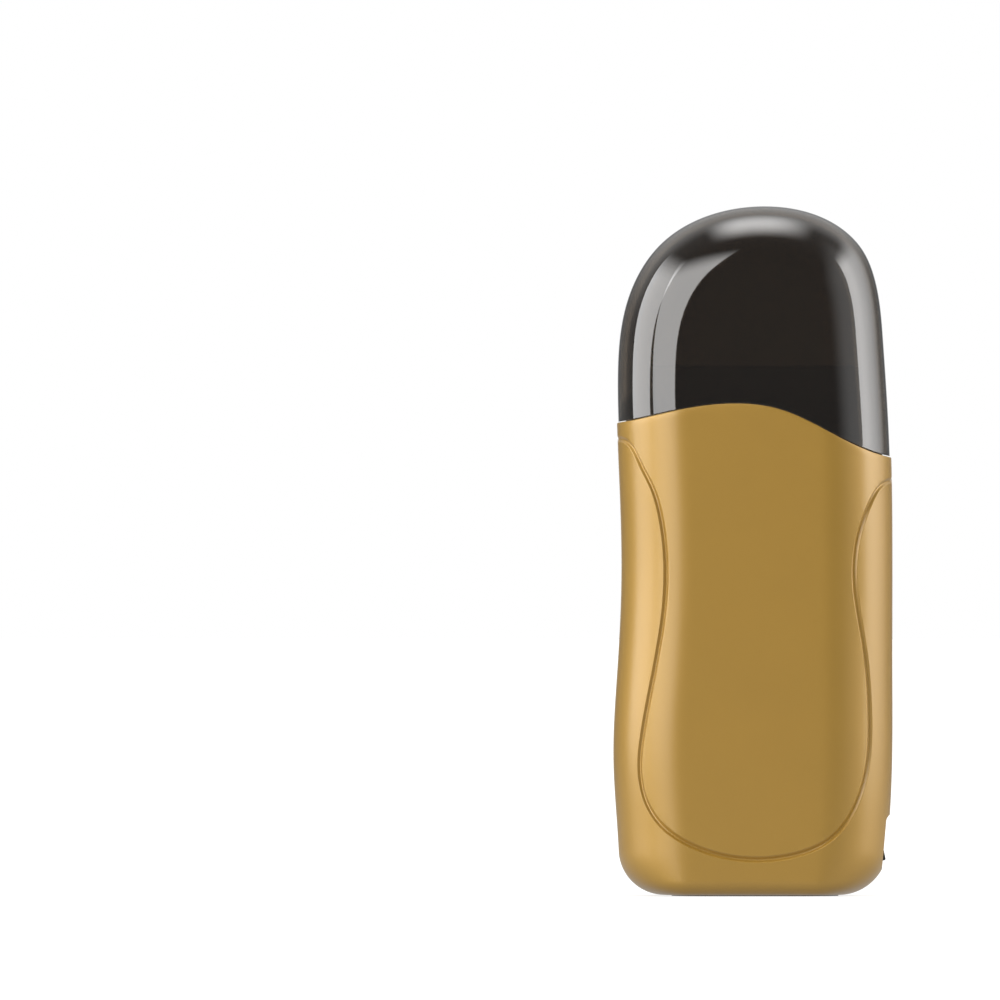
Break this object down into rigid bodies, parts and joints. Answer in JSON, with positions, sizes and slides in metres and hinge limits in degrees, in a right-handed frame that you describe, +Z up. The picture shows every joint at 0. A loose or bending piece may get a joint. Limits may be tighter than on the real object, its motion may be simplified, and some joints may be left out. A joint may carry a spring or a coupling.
{
  "type": "roll on wax heater",
  "caption": "Hand-size heater for a roll-on wax cartridge: two-shell case with a wave rim, smoked dome cover, heated cup, side rocker switch and mains inlet.",
  "frame": {"origin": "middle of the base pad's underside, on the table", "axes": "+Z up, the front with the hourglass groove faces -Y, +X to the object's right as seen from the front"},
  "size_m": [0.0769, 0.056, 0.19],
  "materials": {
    "gold_paint": "satin gold metallic paint on moulded plastic",
    "smoked_clear": "polished smoked see-through plastic",
    "brown_plastic": "heat-resistant dark brown plastic",
    "grey_plastic": "heat-resistant dark grey plastic",
    "cup_metal": "plain cast aluminium",
    "glass_felt": "woven glass-fibre sheet",
    "ceramic": "grey heating ceramic, weighed as plastic",
    "electrode_metal": "bright sheet",
    "amber_film": "polyimide film",
    "spring_steel": "bright spring steel",
    "screw_steel": "zinc plated",
    "sensor_case": "pressed metal case",
    "fuse_case": "plated can",
    "black_plastic": "black moulded plastic",
    "black_gloss": "polished black plastic",
    "contact_brass": "bright brass",
    "pin_plate": "nickel plated",
    "white_silicone": "silicone wire sleeve",
    "black_rubber": "matte rubber pad"
  },
  "bodies": {
    "case": {"front_shell": "gold_paint", "rear_shell": "gold_paint", "case_screws": "screw_steel", "base_pad": "black_rubber", "neck_collar": "brown_plastic", "cup_seat": "grey_plastic", "heating_cup": "cup_metal", "insulation_wrap": "glass_felt", "ptc_tiles": "ceramic", "inner_electrode": "electrode_metal", "outer_electrode": "electrode_metal", "insulating_films": "amber_film", "clamp_plate": "spring_steel", "clamp_screws": "screw_steel", "thermostat": "sensor_case", "thermostat_clip": "spring_steel", "thermal_fuse": "fuse_case", "fuse_clip": "spring_steel", "clip_screws": "screw_steel", "switch_housing": "black_plastic", "switch_terminals": "contact_brass", "power_inlet": "black_plastic", "inlet_pins": "pin_plate", "crimp_sleeves": "contact_brass", "live_lead": "white_silicone", "switched_lead": "white_silicone", "heater_lead": "white_silicone", "return_lead": "white_silicone", "neutral_lead": "white_silicone"},
    "cover": {"dome_cover": "smoked_clear"},
    "paddle": {"rocker": "black_gloss", "contact_bridge": "contact_brass"}
  },
  "joints": [
    {"name": "cover_lift", "type": "slide", "parent": "case", "child": "cover", "axis": [0, 0, 1], "range_m": [0, 0.045]},
    {"name": "rocker_tilt", "type": "hinge", "parent": "case", "child": "paddle", "pos_m": [0.03305, 0.003, 0.0149], "axis": [0, 1, 0], "range_deg": [0, 12]}
  ]
}
